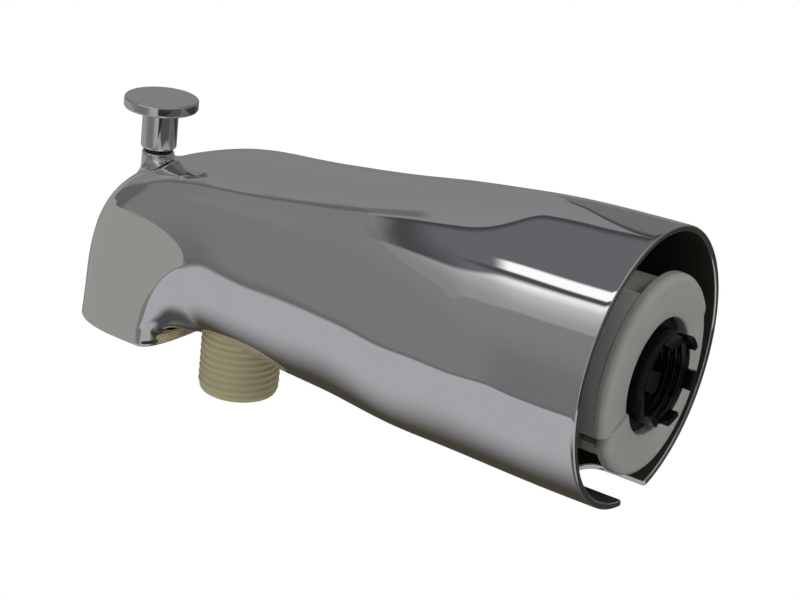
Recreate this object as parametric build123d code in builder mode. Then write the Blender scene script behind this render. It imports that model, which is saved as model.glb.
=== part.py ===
"""Bath spout with a pull-up diverter and a threaded hose outlet.

A chromed shell hides a moulded waterway. Water comes in at the wall through a threaded
insert, runs down a sloping duct to a small gate chamber in the nose, and leaves through
a port into the beak. Pulling the knob lifts a gate over the port, and the water then
goes down through the hose outlet. Sizes are in millimetres. The origin is the centre of
the rear rim, in the plane of the wall, with +Z up and the nose towards -Y.
"""

import os
from math import cos, radians, sin

from build123d import *

# Shell
RIM_RADIUS = 34.0
ELBOW_DISTANCE = 112.0
MOUTH_DROP = 30.5
NECK_TOP = 18.4
NECK_BOTTOM = 26.6
NECK_HALF_WIDTH = 22.1
NOSE_REACH = 46.5
MOUTH_BACK = 14.5
SHELL_WALL = 1.6
SLOT_WIDTH = 12.0
SLOT_LENGTH = 17.0
SLOT_OFFSET = -2.0

# Knob, its boss on the nose and the lift rod
ROD_DISTANCE = 145.8
ROD_RADIUS = 1.6
BOSS_RADIUS = 4.15
BOSS_TOP = 13.2
BOSS_ROOT_FILLET = 2.0
GUIDE_SLEEVE_RADIUS = 2.9
GUIDE_LENGTH = 5.0
GUIDE_FLANGE_RADIUS = 3.7
GUIDE_FLANGE = 0.6
KNOB_RADIUS = 9.54
KNOB_DISC = 2.8
KNOB_HUB_RADIUS = 4.6
KNOB_HUB_HEIGHT = 10.6
KNOB_SOCKET_DEPTH = 6.4
KNOB_HUB_FILLET = 0.8
KNOB_DISC_FILLET = 0.55

# Hose outlet: half-inch parallel pipe thread, drawn at its outside diameter
OUTLET_DISTANCE = 114.2
OUTLET_THREAD_RADIUS = 10.475
OUTLET_BOTTOM = 43.3
OUTLET_BORE_RADIUS = 5.6
OUTLET_PASSAGE_RADIUS = 5.0
OUTLET_BOSS_RADIUS = 11.4
OUTLET_SPIGOT_RADIUS = 7.5
OUTLET_SPIGOT_LENGTH = 7.2
OUTLET_WASHER = 1.5
OUTLET_WASHER_RADIUS = 9.8
OUTLET_HOLE_CLEARANCE = 0.9
OUTLET_CHAMFER = 0.5
OUTLET_SHOULDER_RISE = 0.6

# Inlet: adapter ring, threaded insert and seals, on an axis a little below the rim's
INLET_Z = -1.1
RING_RADIUS = 24.2
RING_BACK = -0.8
RING_FACE = 2.3
RING_RAMP = 0.35
RING_SHOULDER = 1.8
RING_STEP_ANGLE = -22.0
RING_NOTCH_SWEEP = 7.0
RING_NOTCH_DEPTH = 2.2
LUG_INSET = 0.1
LUG_THICKNESS = 2.3
LUG_SWEEP = 88.0
LUG_LENGTH = 11.2
SPIGOT_RADIUS = 17.3
SPIGOT_WALL = 3.3
SPIGOT_LENGTH = 21.2
SEAL_SECTION = 1.6
SEAL_GROOVE_WIDTH = 2.4
SEAL_DISTANCES = (11.0, 17.0)
INSERT_RADIUS = 11.3
INSERT_FACE = 4.55
INSERT_THREAD_RADIUS = 9.6
INSERT_THREAD_LENGTH = 19.55
INSERT_SHOULDER = 4.0
INSERT_COLLAR_LENGTH = 21.0
FINGER_COUNT = 6
FINGER_HEIGHT = 2.15
FINGER_SWEEP = 26.0
FINGER_START = 3.0
FINGER_INNER_RADIUS = 9.9
WASHER_THICKNESS = 2.0
WASHER_SEAT_RADIUS = 9.2
WATERWAY_RADIUS = 7.5

# Moulded waterway
SOCKET_DEPTH = 24.2
SOCKET_CONE = 13.0
DUCT_BORE_RADIUS = 6.5
DUCT_WALL = 2.2
DUCT_END_Z = -12.0
EAR_INSET = 0.5
EAR_SWEEP = 9.0
EAR_LENGTH = 3.4
RIB_DISTANCE = 60.0
RIB_LENGTH = 12.0
RIB_THICKNESS = 2.4

# Gate chamber, gate and port
TRAVEL = 10.0
PORT_RADIUS = 4.2
PORT_Z = -10.6
PORT_PLATE = 1.8
PORT_PLATE_BEVEL = 1.0
GATE_HALF_WIDTH = 7.5
GATE_HEIGHT = 10.6
GATE_THICKNESS = 5.4
GATE_SOCKET_DEPTH = 5.6
PAD_WIDTH = 11.0
PAD_HEIGHT = 9.6
PAD_THICKNESS = 0.7
PAD_PROUD = 0.3
PAD_CORNER = 1.5
CHAMBER_FRONT = 149.2
CHAMBER_DEPTH = 17.8
CHAMBER_SIDE_WALL = 3.4
CHAMBER_TOP_WALL = 1.8
CHAMBER_FLOOR = 1.7
CHAMBER_BACK_WALL = 2.2
CHAMBER_CORNER = 2.5
GLAND_HEIGHT = 3.0
GLAND_RADIUS = 3.9
GLAND_BORE_RADIUS = 3.0
ROD_SEAL_SECTION = 1.24
SCREW_RADIUS = 1.0
SCREW_HEAD_RADIUS = 1.8
SCREW_LENGTH = 8.0
SCREW_INSET = 4.4

# Clearances
SEAL_SEAT = 0.02
RUNNING = 0.05
SOCKET_PLAY = 0.1
BONDED = 0.05
SLACK = 0.3

# Cross-sections of the straight part: place along it, then how far the top, the bottom
# and the sides have gone from the round rim to the narrow neck, then the squareness
# exponents of the upper and lower halves and the crown of the top
STRAIGHT_SECTIONS = [
    (0.000, 0.000, 0.000, 0.000, 2.00, 2.0, 0.0),
    (0.125, 0.032, 0.000, 0.017, 2.00, 2.0, 0.0),
    (0.268, 0.103, 0.014, 0.127, 2.05, 2.0, 0.0),
    (0.402, 0.250, 0.054, 0.339, 2.30, 2.1, 0.2),
    (0.536, 0.430, 0.135, 0.576, 2.80, 2.3, 0.5),
    (0.679, 0.654, 0.446, 0.797, 3.80, 2.6, 1.0),
    (0.839, 0.853, 0.676, 0.932, 5.50, 2.9, 1.4),
    (1.000, 1.000, 1.000, 1.000, 7.50, 3.0, 1.6),
]
# Cross-sections of the elbow: turn in degrees, how far the nose and the underside stand
# beyond their reach at the mouth, the height that parts the halves, exponents and crown
ELBOW_SECTIONS = [
    (22.5, 3.4, -9.5, 27.0, 8.0, 2.8, 2.2),
    (45.0, 6.1, -8.4, 24.0, 6.0, 2.7, 5.0),
    (67.5, 1.7, -2.5, 21.0, 4.5, 2.7, 4.0),
    (80.0, -0.3, 0.2, 20.0, 3.8, 2.7, 2.5),
    (90.0, 0.0, 0.0, 19.5, 3.4, 2.7, 1.5),
]
# Directions of a section's points, closer together round its corners
QUADRANT = (0, 15, 28, 36, 41, 45, 49, 54, 62, 75)
DIRECTIONS = [90 * quarter + angle for quarter in range(4) for angle in QUADRANT]
KNOTS = [angle / 360 for angle in DIRECTIONS] + [1.0]


def blend(start, end, share):
    return start + (end - start) * share


def outline(half_width, up, down, n_up, n_down, crown, inset):
    """Points of one squared-off oval, moved in from the outer surface by inset."""
    points = []
    side = half_width - inset
    for direction in DIRECTIONS:
        across = cos(radians(direction))
        rise = sin(radians(direction))
        exponent = n_up if rise >= 0 else n_down
        reach = (abs(across) ** exponent + abs(rise) ** exponent) ** (-1 / exponent)
        crown_drop = crown * (reach * across) ** 2 if rise >= 0 else 0
        height = (up if rise >= 0 else down) - inset - crown_drop
        points.append(Vector(side * reach * across, height * reach * rise))
    return points


def shell_sections(inset):
    """All cross-sections from the rim to the mouth, as sketches in their places."""
    frames = []
    for along, top, bottom, side, n_up, n_down, crown in STRAIGHT_SECTIONS:
        frame = Plane(
            origin=(0, -ELBOW_DISTANCE * along, 0), x_dir=(1, 0, 0), z_dir=(0, -1, 0)
        )
        points = outline(
            blend(RIM_RADIUS, NECK_HALF_WIDTH, side),
            blend(RIM_RADIUS, NECK_TOP, top),
            blend(RIM_RADIUS, NECK_BOTTOM, bottom),
            n_up,
            n_down,
            crown,
            inset,
        )
        frames.append((frame, points))
    for turn, bulge, lift, split_height, n_up, n_down, crown in ELBOW_SECTIONS:
        forward = sin(radians(turn))
        upward = cos(radians(turn))
        frame = Plane(
            origin=(
                0,
                -ELBOW_DISTANCE - split_height * forward,
                -MOUTH_DROP + split_height * upward,
            ),
            x_dir=(1, 0, 0),
            z_dir=(0, -upward, -forward),
        )
        points = outline(
            NECK_HALF_WIDTH,
            NOSE_REACH + bulge - split_height,
            split_height - MOUTH_BACK - lift,
            n_up,
            n_down,
            crown,
            inset,
        )
        frames.append((frame, points))
    sections = []
    for frame, points in frames:
        with BuildSketch(frame) as section:
            with BuildLine():
                add(Edge.make_spline(points, periodic=True, parameters=KNOTS))
            make_face()
        sections.append(section.sketch)
    return sections


def facing_nose(y, z=0):
    """A plane across the spout whose normal points at the nose, with z up in it."""
    return Plane(origin=(0, y, z), x_dir=(1, 0, 0), z_dir=(0, -1, 0))


def sector(inner, outer, start, sweep):
    """Part of a flat ring, from a start angle over a sweep."""
    with BuildSketch() as shape:
        with BuildLine():
            far = CenterArc((0, 0), outer, start, sweep)
            near = CenterArc((0, 0), inner, start, sweep)
            Line(near @ 0, far @ 0)
            Line(near @ 1, far @ 1)
        make_face()
    return shape.sketch


def turned(section_plane, axis, points):
    """A solid of revolution from an outline given as distance along, distance out."""
    with BuildPart() as piece:
        with BuildSketch(section_plane):
            with BuildLine():
                Polyline(*points, close=True)
            make_face()
        revolve(axis=axis)
    return piece.part


inlet_section = Plane(origin=(0, 0, INLET_Z), x_dir=(0, 1, 0), z_dir=(1, 0, 0))
inlet_axis = Axis((0, 0, INLET_Z), (0, 1, 0))
rod_section = facing_nose(-ROD_DISTANCE)
rod_axis = Axis((0, -ROD_DISTANCE, 0), (0, 0, 1))
outlet_section = facing_nose(-OUTLET_DISTANCE)
outlet_axis = Axis((0, -OUTLET_DISTANCE, 0), (0, 0, 1))

# Radii round the inlet, from the spigot in and from the flange's edge in
ring_bore_radius = SPIGOT_RADIUS - SPIGOT_WALL
lug_radius = RING_RADIUS - LUG_INSET
socket_bore = SPIGOT_RADIUS + SOCKET_PLAY
socket_radius = lug_radius - LUG_THICKNESS - SLACK

# Levels of the rod's pieces, from the top of the boss up to the knob
guide_top = BOSS_TOP + GUIDE_FLANGE
hub_bottom = guide_top + SLACK
hub_top = hub_bottom + KNOB_HUB_HEIGHT
knob_top = hub_top + KNOB_DISC
rod_top = hub_bottom + KNOB_SOCKET_DEPTH - BONDED

# Levels of the gate, which covers the port at the top of its travel
gate_top = PORT_Z + GATE_HEIGHT / 2 - TRAVEL
gate_bottom = gate_top - GATE_HEIGHT
chamber_ceiling = gate_top + TRAVEL + SLACK
chamber_floor = gate_bottom - SLACK
chamber_top = chamber_ceiling + CHAMBER_TOP_WALL
chamber_bottom = chamber_floor - CHAMBER_FLOOR
chamber_half_width = GATE_HALF_WIDTH + SLACK + CHAMBER_SIDE_WALL
chamber_height = chamber_top - chamber_bottom
chamber_middle = (chamber_top + chamber_bottom) / 2
screw_spacing_x = 2 * (GATE_HALF_WIDTH + SLACK) + CHAMBER_SIDE_WALL
screw_spacing_z = chamber_height - 2 * SCREW_INSET
rod_bottom = gate_top - GATE_SOCKET_DEPTH + BONDED

# The hose outlet's levels, below its seat on the waterway
underside_inner = -NECK_BOTTOM + SHELL_WALL
outlet_shoulder = underside_inner + OUTLET_SHOULDER_RISE
outlet_seat = outlet_shoulder + OUTLET_WASHER
spigot_top = outlet_shoulder + OUTLET_SPIGOT_LENGTH

# Shell with its boss, rod hole, outlet hole and rear slot
with BuildPart() as spout_shell:
    loft(shell_sections(0))
    with BuildSketch(Plane.XY.offset(BOSS_TOP)):
        with Locations((0, -ROD_DISTANCE)):
            Circle(BOSS_RADIUS)
    extrude(amount=-BOSS_TOP)
    boss_wall = spout_shell.faces().filter_by(GeomType.CYLINDER)
    boss_root = boss_wall.edges().sort_by(Axis.Z)[0:-1]
    fillet(
        [edge for edge in boss_root if edge.geom_type != GeomType.LINE],
        BOSS_ROOT_FILLET,
    )
    loft(shell_sections(SHELL_WALL), mode=Mode.SUBTRACT)
    with BuildSketch(Plane.XY.offset(BOSS_TOP)):
        with Locations((0, -ROD_DISTANCE)):
            Circle(GUIDE_SLEEVE_RADIUS + BONDED)
    extrude(amount=-BOSS_TOP, mode=Mode.SUBTRACT)
    with BuildSketch(Plane.XY.offset(-MOUTH_DROP)):
        with Locations((0, -OUTLET_DISTANCE)):
            Circle(OUTLET_THREAD_RADIUS + OUTLET_HOLE_CLEARANCE)
    extrude(amount=MOUTH_DROP - NECK_BOTTOM / 2, mode=Mode.SUBTRACT)
    with BuildSketch(Plane.XY.offset(-RIM_RADIUS - SHELL_WALL)):
        with Locations((SLOT_OFFSET, 0)):
            SlotCenterToCenter(2 * SLOT_LENGTH - SLOT_WIDTH, SLOT_WIDTH, rotation=90)
    extrude(amount=RIM_RADIUS / 2, mode=Mode.SUBTRACT)
spout_shell.part.label = "spout_shell"

# The room inside the shell that the waterway's ribs may fill
with BuildPart() as shell_room:
    loft(shell_sections(SHELL_WALL + SLACK))

# Two crossed ribs that centre the waterway in the shell
rib_z = blend(INLET_Z, DUCT_END_Z, RIB_DISTANCE / CHAMBER_FRONT)
with BuildPart() as ribs:
    with BuildSketch(facing_nose(-RIB_DISTANCE, rib_z)):
        Rectangle(2 * RIM_RADIUS, RIB_THICKNESS)
        Rectangle(RIB_THICKNESS, 3 * RIM_RADIUS)
    extrude(amount=RIB_LENGTH)
    add(shell_room.part, mode=Mode.INTERSECT)

# Waterway moulding: socket and cone, sloping duct, gate chamber and outlet boss
socket_end = RING_BACK - SOCKET_DEPTH
duct_radius = DUCT_BORE_RADIUS + DUCT_WALL
ear_root = (socket_bore + socket_radius) / 2
duct_start = (0, socket_end - SOCKET_CONE / 2, INLET_Z)
chamber_back = -CHAMBER_FRONT + CHAMBER_DEPTH
duct_end = (0, chamber_back - CHAMBER_BACK_WALL / 2, DUCT_END_Z)
duct_run = Vector(*duct_end) - Vector(*duct_start)
duct_plane = Plane(origin=duct_start, x_dir=(1, 0, 0), z_dir=duct_run)
duct_share = (OUTLET_DISTANCE + duct_start[1]) / (duct_start[1] - duct_end[1])
duct_z_at_outlet = blend(INLET_Z, DUCT_END_Z, duct_share)
with BuildPart() as waterway_body:
    with BuildSketch(inlet_section):
        with BuildLine():
            Polyline(
                (RING_BACK, 0),
                (RING_BACK, socket_radius),
                (socket_end, socket_radius),
                (socket_end - SOCKET_CONE, duct_radius),
                (socket_end - SOCKET_CONE, 0),
                close=True,
            )
        make_face()
    revolve(axis=inlet_axis)
    with BuildSketch(duct_plane):
        Circle(duct_radius)
    extrude(amount=duct_run.length)
    with BuildSketch(facing_nose(chamber_back + CHAMBER_BACK_WALL, chamber_middle)):
        RectangleRounded(2 * chamber_half_width, chamber_height, CHAMBER_CORNER)
    extrude(amount=CHAMBER_DEPTH + CHAMBER_BACK_WALL)
    with BuildSketch(Plane.XY.offset(chamber_top)):
        with Locations((0, -ROD_DISTANCE)):
            Circle(GLAND_RADIUS)
    extrude(amount=GLAND_HEIGHT)
    with BuildSketch(Plane.XY.offset(outlet_seat)):
        with Locations((0, -OUTLET_DISTANCE)):
            Circle(OUTLET_BOSS_RADIUS)
    extrude(amount=duct_z_at_outlet - outlet_seat)
    add(ribs.part)
    with BuildSketch(facing_nose(RING_BACK - SLACK, INLET_Z)):
        for start in (
            RING_STEP_ANGLE - RING_NOTCH_SWEEP,
            RING_STEP_ANGLE - RING_NOTCH_SWEEP + 180,
        ):
            add(sector(ear_root, RING_RADIUS - EAR_INSET, start, -EAR_SWEEP))
    extrude(amount=EAR_LENGTH)
    with BuildSketch(inlet_section):
        with BuildLine():
            Polyline(
                (RING_BACK, 0),
                (RING_BACK, socket_bore),
                (socket_end, socket_bore),
                (socket_end - SOCKET_CONE, DUCT_BORE_RADIUS),
                (socket_end - SOCKET_CONE, 0),
                close=True,
            )
        make_face()
    revolve(axis=inlet_axis, mode=Mode.SUBTRACT)
    with BuildSketch(duct_plane):
        Circle(DUCT_BORE_RADIUS)
    extrude(amount=duct_run.length + CHAMBER_DEPTH / 2, mode=Mode.SUBTRACT)
    with BuildSketch(facing_nose(chamber_back, (chamber_ceiling + chamber_floor) / 2)):
        Rectangle(2 * (GATE_HALF_WIDTH + SLACK), chamber_ceiling - chamber_floor)
    extrude(amount=CHAMBER_DEPTH, mode=Mode.SUBTRACT)
    with BuildSketch(Plane.XY.offset(chamber_ceiling - SLACK)):
        with Locations((0, -ROD_DISTANCE)):
            Circle(ROD_RADIUS + RUNNING)
    extrude(amount=CHAMBER_TOP_WALL + GLAND_HEIGHT, mode=Mode.SUBTRACT)
    with BuildSketch(Plane.XY.offset(chamber_top)):
        with Locations((0, -ROD_DISTANCE)):
            Circle(GLAND_BORE_RADIUS)
    extrude(amount=GLAND_HEIGHT, mode=Mode.SUBTRACT)
    with BuildSketch(Plane.XY.offset(outlet_seat)):
        with Locations((0, -OUTLET_DISTANCE)):
            Circle(OUTLET_SPIGOT_RADIUS + BONDED)
    extrude(amount=spigot_top - outlet_seat + SLACK, mode=Mode.SUBTRACT)
    with BuildSketch(Plane.XY.offset(outlet_seat)):
        with Locations((0, -OUTLET_DISTANCE)):
            Circle(OUTLET_PASSAGE_RADIUS)
    extrude(amount=duct_z_at_outlet - outlet_seat, mode=Mode.SUBTRACT)
    with BuildSketch(facing_nose(-CHAMBER_FRONT, chamber_middle)):
        with GridLocations(screw_spacing_x, screw_spacing_z, 2, 2):
            Circle(SCREW_RADIUS)
    extrude(amount=-(SCREW_LENGTH - PORT_PLATE + SLACK), mode=Mode.SUBTRACT)
waterway_body.part.label = "waterway_body"

# Adapter ring: stepped flange in two ramped halves, spigot with seal grooves and lugs
step_cos = cos(radians(RING_STEP_ANGLE))
step_sin = sin(radians(RING_STEP_ANGLE))
ramp_slope = RING_RAMP / RING_RADIUS


def flange_half(side):
    """Half of the flange, whose face rises to one step and falls to the other."""
    face_plane = Plane(
        origin=(0, RING_BACK, INLET_Z),
        x_dir=(side * step_cos, 0, side * step_sin),
        z_dir=(0, 1, 0),
    )
    cut_plane = Plane(
        origin=(0, RING_FACE, INLET_Z),
        z_dir=(side * ramp_slope * step_cos, 1, side * ramp_slope * step_sin),
    )
    with BuildPart() as half:
        with BuildSketch(face_plane):
            Circle(RING_RADIUS)
            Circle(ring_bore_radius, mode=Mode.SUBTRACT)
            Rectangle(
                2 * RING_RADIUS,
                RING_RADIUS,
                align=(Align.CENTER, Align.MIN),
                mode=Mode.INTERSECT,
            )
        extrude(amount=RING_FACE - RING_BACK + 2 * RING_RAMP)
        split(bisect_by=cut_plane, keep=Keep.BOTTOM)
        rim = half.edges().filter_by(GeomType.ELLIPSE).sort_by(SortBy.LENGTH)[-1]
        fillet(rim, RING_SHOULDER)
    return half.part


groove_floor = SPIGOT_RADIUS - SEAL_SECTION
spigot_outline = [(RING_BACK, ring_bore_radius), (RING_BACK, SPIGOT_RADIUS)]
for distance in SEAL_DISTANCES:
    near_wall = RING_BACK - distance + SEAL_GROOVE_WIDTH / 2
    far_wall = RING_BACK - distance - SEAL_GROOVE_WIDTH / 2
    spigot_outline += [
        (near_wall, SPIGOT_RADIUS),
        (near_wall, groove_floor),
        (far_wall, groove_floor),
        (far_wall, SPIGOT_RADIUS),
    ]
spigot_outline += [
    (RING_BACK - SPIGOT_LENGTH, SPIGOT_RADIUS),
    (RING_BACK - SPIGOT_LENGTH, ring_bore_radius),
]
with BuildPart() as adapter_ring:
    add(turned(inlet_section, inlet_axis, spigot_outline))
    add(flange_half(1))
    add(flange_half(-1))
    with BuildSketch(facing_nose(RING_BACK, INLET_Z)):
        for start in (RING_STEP_ANGLE, RING_STEP_ANGLE + 180):
            add(sector(lug_radius - LUG_THICKNESS, lug_radius, start, LUG_SWEEP))
    extrude(amount=LUG_LENGTH)
    with BuildSketch(facing_nose(RING_FACE + 2 * RING_RAMP, INLET_Z)):
        for turn in (0, 180):
            step = radians(RING_STEP_ANGLE + turn)
            slant = radians(RING_STEP_ANGLE + turn - RING_NOTCH_SWEEP)
            mouth = RING_RADIUS + RING_NOTCH_DEPTH
            root = RING_RADIUS - RING_NOTCH_DEPTH
            with BuildLine():
                Polyline(
                    (root * cos(step), root * sin(step)),
                    (mouth * cos(step), mouth * sin(step)),
                    (mouth * cos(slant), mouth * sin(slant)),
                    close=True,
                )
            make_face()
    extrude(amount=RING_FACE + 2 * RING_RAMP - RING_BACK, mode=Mode.SUBTRACT)
adapter_ring.part.label = "adapter_ring"

# Seals on the spigot
seal_centre_radius = groove_floor + SEAL_SECTION / 2 + SEAL_SEAT
adapter_seals = []
for distance in SEAL_DISTANCES:
    with BuildPart() as seal:
        with BuildSketch(inlet_section):
            with Locations((RING_BACK - distance, seal_centre_radius)):
                Circle(SEAL_SECTION / 2)
        revolve(axis=inlet_axis)
    adapter_seals.append(seal.part)
adapter_seals[0].label = "adapter_seal_rear"
adapter_seals[1].label = "adapter_seal_front"

# Threaded insert: thread bored to its crests, washer seat, bonded collar, six fingers
thread_end = INSERT_FACE - INSERT_THREAD_LENGTH
washer_seat = thread_end - WASHER_THICKNESS
insert_end = washer_seat - INSERT_SHOULDER
collar_face = insert_end + INSERT_COLLAR_LENGTH
collar_radius = ring_bore_radius - BONDED
with BuildPart() as threaded_insert:
    add(
        turned(
            inlet_section,
            inlet_axis,
            [
                (INSERT_FACE, INSERT_THREAD_RADIUS),
                (INSERT_FACE, INSERT_RADIUS),
                (collar_face, INSERT_RADIUS),
                (collar_face, collar_radius),
                (insert_end, collar_radius),
                (insert_end, WATERWAY_RADIUS),
                (washer_seat, WATERWAY_RADIUS),
                (washer_seat, WASHER_SEAT_RADIUS),
                (thread_end, WASHER_SEAT_RADIUS),
                (thread_end, INSERT_THREAD_RADIUS),
            ],
        )
    )
    with BuildSketch(facing_nose(INSERT_FACE, INLET_Z)):
        for number in range(FINGER_COUNT):
            start = FINGER_START + 360 / FINGER_COUNT * number
            add(sector(FINGER_INNER_RADIUS, INSERT_RADIUS, start, FINGER_SWEEP))
    extrude(amount=-FINGER_HEIGHT)
threaded_insert.part.label = "threaded_insert"

# Flat washer that the supply pipe bears on
inlet_washer = turned(
    inlet_section,
    inlet_axis,
    [
        (washer_seat, WATERWAY_RADIUS + BONDED),
        (washer_seat, WASHER_SEAT_RADIUS - BONDED),
        (thread_end, WASHER_SEAT_RADIUS - BONDED),
        (thread_end, WATERWAY_RADIUS + BONDED),
    ],
)
inlet_washer.label = "inlet_washer"

# Hose outlet nipple and its washer
with BuildPart() as hose_outlet:
    add(
        turned(
            outlet_section,
            outlet_axis,
            [
                (OUTLET_BORE_RADIUS, -OUTLET_BOTTOM),
                (OUTLET_THREAD_RADIUS - OUTLET_CHAMFER, -OUTLET_BOTTOM),
                (OUTLET_THREAD_RADIUS, -OUTLET_BOTTOM + OUTLET_CHAMFER),
                (OUTLET_THREAD_RADIUS, outlet_shoulder),
                (OUTLET_SPIGOT_RADIUS, outlet_shoulder),
                (OUTLET_SPIGOT_RADIUS, spigot_top),
                (OUTLET_BORE_RADIUS, spigot_top),
            ],
        )
    )
hose_outlet.part.label = "hose_outlet"

outlet_washer = turned(
    outlet_section,
    outlet_axis,
    [
        (OUTLET_SPIGOT_RADIUS + BONDED, outlet_shoulder),
        (OUTLET_WASHER_RADIUS, outlet_shoulder),
        (OUTLET_WASHER_RADIUS, outlet_seat),
        (OUTLET_SPIGOT_RADIUS + BONDED, outlet_seat),
    ],
)
outlet_washer.label = "outlet_washer"

# Port plate across the chamber's open front, with a countersunk screw in each corner
plate_front = -CHAMBER_FRONT - PORT_PLATE
with BuildPart() as port_plate:
    with BuildSketch(facing_nose(-CHAMBER_FRONT, chamber_middle)):
        RectangleRounded(2 * chamber_half_width, chamber_height, CHAMBER_CORNER)
    extrude(amount=PORT_PLATE)
    front_edges = port_plate.faces().sort_by(Axis.Y)[0].edges()
    chamfer(front_edges, PORT_PLATE_BEVEL)
    with BuildSketch(facing_nose(-CHAMBER_FRONT, PORT_Z)):
        Circle(PORT_RADIUS)
    extrude(amount=PORT_PLATE, mode=Mode.SUBTRACT)
    with Locations(facing_nose(plate_front, chamber_middle)):
        with GridLocations(screw_spacing_x, screw_spacing_z, 2, 2):
            CounterSinkHole(
                SCREW_RADIUS + BONDED, SCREW_HEAD_RADIUS, depth=PORT_PLATE
            )
port_plate.part.label = "port_plate"

screw_head_depth = SCREW_HEAD_RADIUS - SCREW_RADIUS
with BuildPart() as port_plate_screws:
    with BuildSketch(facing_nose(plate_front, chamber_middle)):
        with GridLocations(screw_spacing_x, screw_spacing_z, 2, 2):
            Circle(SCREW_HEAD_RADIUS - BONDED)
    extrude(amount=-screw_head_depth, taper=45)
    with BuildSketch(facing_nose(plate_front, chamber_middle)):
        with GridLocations(screw_spacing_x, screw_spacing_z, 2, 2):
            Circle(SCREW_RADIUS - BONDED)
    extrude(amount=-SCREW_LENGTH)
port_plate_screws.part.label = "port_plate_screws"

# Seal round the rod in the chamber's top, and the gland that holds it down
rod_seal_level = chamber_top + ROD_SEAL_SECTION / 2 + SEAL_SEAT
gland_bottom = chamber_top + ROD_SEAL_SECTION + BONDED
gland_top = chamber_top + GLAND_HEIGHT
with BuildPart() as rod_seal:
    with BuildSketch(rod_section):
        with Locations(((ROD_RADIUS + GLAND_BORE_RADIUS) / 2, rod_seal_level)):
            Circle(ROD_SEAL_SECTION / 2)
    revolve(axis=rod_axis)
rod_seal.part.label = "rod_seal"

rod_gland = turned(
    rod_section,
    rod_axis,
    [
        (ROD_RADIUS + RUNNING, gland_bottom),
        (GLAND_BORE_RADIUS - BONDED, gland_bottom),
        (GLAND_BORE_RADIUS - BONDED, gland_top),
        (ROD_RADIUS + RUNNING, gland_top),
    ],
)
rod_gland.label = "rod_gland"

# Flanged guide in the boss
rod_guide = turned(
    rod_section,
    rod_axis,
    [
        (ROD_RADIUS + RUNNING, BOSS_TOP - GUIDE_LENGTH),
        (GUIDE_SLEEVE_RADIUS, BOSS_TOP - GUIDE_LENGTH),
        (GUIDE_SLEEVE_RADIUS, BOSS_TOP),
        (GUIDE_FLANGE_RADIUS, BOSS_TOP),
        (GUIDE_FLANGE_RADIUS, guide_top),
        (ROD_RADIUS + RUNNING, guide_top),
    ],
)
rod_guide.label = "rod_guide"

# Lift rod, screwed into the knob above and the gate below
with BuildPart() as lift_rod:
    with BuildSketch(Plane.XY.offset(rod_bottom)):
        with Locations((0, -ROD_DISTANCE)):
            Circle(ROD_RADIUS)
    extrude(amount=rod_top - rod_bottom)
lift_rod.part.label = "lift_rod"

# Knob: hub and rounded disc in one casting
with BuildPart() as diverter_knob:
    with BuildSketch(Plane.XY.offset(hub_bottom)):
        with Locations((0, -ROD_DISTANCE)):
            Circle(KNOB_HUB_RADIUS)
    extrude(amount=KNOB_HUB_HEIGHT)
    fillet(diverter_knob.faces().sort_by(Axis.Z)[0].edges(), KNOB_HUB_FILLET)
    with BuildSketch(Plane.XY.offset(hub_top)):
        with Locations((0, -ROD_DISTANCE)):
            Circle(KNOB_RADIUS)
    extrude(amount=KNOB_DISC)
    disc_edges = diverter_knob.edges().filter_by(
        lambda edge: edge.geom_type == GeomType.CIRCLE and edge.radius > KNOB_RADIUS / 1.5
    )
    fillet(disc_edges, KNOB_DISC_FILLET)
    with BuildSketch(Plane.XY.offset(hub_bottom)):
        with Locations((0, -ROD_DISTANCE)):
            Circle(ROD_RADIUS + BONDED)
    extrude(amount=KNOB_SOCKET_DEPTH, mode=Mode.SUBTRACT)
diverter_knob.part.label = "diverter_knob"

# Gate block, driven by the rod, with a rubber pad on the side of the port
gate_front = -CHAMBER_FRONT + SLACK + PAD_PROUD
gate_middle = (gate_top + gate_bottom) / 2
pad_pocket = PAD_THICKNESS - PAD_PROUD
with BuildPart() as diverter_gate:
    with BuildSketch(facing_nose(gate_front, gate_middle)):
        Rectangle(2 * GATE_HALF_WIDTH, GATE_HEIGHT)
    extrude(amount=-GATE_THICKNESS)
    with BuildSketch(facing_nose(gate_front, gate_middle)):
        RectangleRounded(PAD_WIDTH + 2 * BONDED, PAD_HEIGHT + 2 * BONDED, PAD_CORNER)
    extrude(amount=-pad_pocket, mode=Mode.SUBTRACT)
    with BuildSketch(Plane.XY.offset(gate_top)):
        with Locations((0, -ROD_DISTANCE)):
            Circle(ROD_RADIUS + BONDED)
    extrude(amount=-GATE_SOCKET_DEPTH, mode=Mode.SUBTRACT)
diverter_gate.part.label = "diverter_gate"

with BuildPart() as gate_pad:
    with BuildSketch(facing_nose(gate_front + pad_pocket, gate_middle)):
        RectangleRounded(PAD_WIDTH, PAD_HEIGHT, PAD_CORNER - BONDED)
    extrude(amount=PAD_THICKNESS)
gate_pad.part.label = "gate_pad"

pieces = [
    spout_shell.part,
    waterway_body.part,
    adapter_ring.part,
    adapter_seals[0],
    adapter_seals[1],
    threaded_insert.part,
    inlet_washer,
    hose_outlet.part,
    outlet_washer,
    port_plate.part,
    port_plate_screws.part,
    rod_seal.part,
    rod_gland,
    rod_guide,
    lift_rod.part,
    diverter_knob.part,
    diverter_gate.part,
    gate_pad.part,
]
os.makedirs("parts", exist_ok=True)
for piece in pieces:
    export_step(piece, f"parts/{piece.label}.step")
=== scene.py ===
from math import atan2, cos, hypot, pi, radians, sin

import bmesh
import bpy
import numpy as np
from mathutils import Matrix, Vector


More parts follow.
